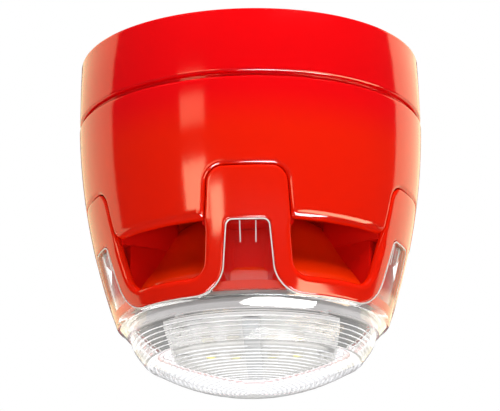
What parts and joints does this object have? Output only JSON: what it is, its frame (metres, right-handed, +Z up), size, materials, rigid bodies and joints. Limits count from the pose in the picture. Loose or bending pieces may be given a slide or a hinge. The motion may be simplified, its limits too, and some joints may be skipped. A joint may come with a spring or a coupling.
{
  "type": "ceiling horn strobe",
  "caption": "Round red ceiling-mounted fire-alarm sounder beacon with horn mouths round its waist, a ribbed clear lens underneath and a twist-lock base.",
  "frame": {"origin": "centre of the base's ceiling face, midway between the two fixing slots", "axes": "+Z up into the ceiling; the body hangs down -Z, with the lens lowest; -Y is the front, where one of the tabs is; +X is to the right seen from the front"},
  "size_m": [0.0998, 0.1, 0.098],
  "materials": {
    "red_abs": "gloss",
    "clear_polycarbonate": "gloss",
    "white_reflector": "satin",
    "grey_plastic": "satin",
    "dark_plastic": "satin",
    "white_plastic": "satin",
    "cream_plastic": "satin",
    "maroon_plastic": "satin",
    "blue_plastic": "satin",
    "black_rubber": "matte",
    "grey_rubber": "matte",
    "brass": "satin",
    "nickel_brass": "satin",
    "phosphor_bronze": "satin",
    "zinc_steel": "satin",
    "circuit_board": "gloss",
    "chip": "matte",
    "capacitor_case": "satin",
    "ceramic": "matte",
    "led_package": "satin",
    "light_guide": "gloss",
    "red_wire": "satin"
  },
  "bodies": {
    "base": {"base_housing": "red_abs", "ceiling_gasket": "grey_rubber", "cable_grommet": "black_rubber", "terminal_block_front": "white_plastic", "terminal_block_rear": "white_plastic", "terminal_screws": "zinc_steel", "wire_clamps": "nickel_brass", "contact_leaves": "phosphor_bronze", "earth_terminal": "brass", "earth_screw": "zinc_steel"},
    "head": {"head_chassis": "grey_plastic", "head_seal": "black_rubber", "upper_body": "red_abs", "contact_pins": "brass", "chassis_screws": "zinc_steel", "main_board": "circuit_board", "microcontroller": "chip", "reservoir_capacitors": "capacitor_case", "drive_inductor": "dark_plastic", "link_header": "cream_plastic", "tone_switch": "maroon_plastic", "volume_trimmer": "blue_plastic", "horn_plate": "red_abs", "piezo_plate": "brass", "piezo_ceramic": "ceramic", "piezo_clamp": "dark_plastic", "clamp_screws": "zinc_steel", "piezo_leads": "red_wire", "horn_frame": "red_abs", "horn_cone": "red_abs", "horn_screws": "zinc_steel", "strobe_wires": "red_wire", "strobe_tray": "dark_plastic", "strobe_board": "white_reflector", "strobe_leds": "led_package", "light_guide": "light_guide", "strobe_driver_parts": "capacitor_case", "strobe_header": "cream_plastic", "strobe_screws": "white_plastic", "lens_seal": "grey_rubber", "lens": "clear_polycarbonate"},
    "dial": {"volume_dial": "white_plastic"},
    "lever_1": {"tone_lever_1": "white_plastic"},
    "lever_2": {"tone_lever_2": "white_plastic"},
    "lever_3": {"tone_lever_3": "white_plastic"},
    "lever_4": {"tone_lever_4": "white_plastic"},
    "lever_5": {"tone_lever_5": "white_plastic"}
  },
  "joints": [
    {"name": "head_twist", "type": "hinge", "parent": "base", "child": "head", "pos_m": [0, 0, 0], "axis": [0, 0, -1], "range_deg": [0, 18]},
    {"name": "tone_lever_1_slide", "type": "slide", "parent": "head", "child": "lever_1", "axis": [0, 1, 0], "range_m": [0, 0.0014]},
    {"name": "tone_lever_2_slide", "type": "slide", "parent": "head", "child": "lever_2", "axis": [0, 1, 0], "range_m": [0, 0.0014]},
    {"name": "tone_lever_3_slide", "type": "slide", "parent": "head", "child": "lever_3", "axis": [0, 1, 0], "range_m": [0, 0.0014]},
    {"name": "tone_lever_4_slide", "type": "slide", "parent": "head", "child": "lever_4", "axis": [0, 1, 0], "range_m": [0, 0.0014]},
    {"name": "tone_lever_5_slide", "type": "slide", "parent": "head", "child": "lever_5", "axis": [0, 1, 0], "range_m": [0, 0.0014]},
    {"name": "volume_turn", "type": "hinge", "parent": "head", "child": "dial", "pos_m": [-0.014, 0.012, -0.0279], "axis": [0, 0, 1], "range_deg": [-135, 135]}
  ]
}
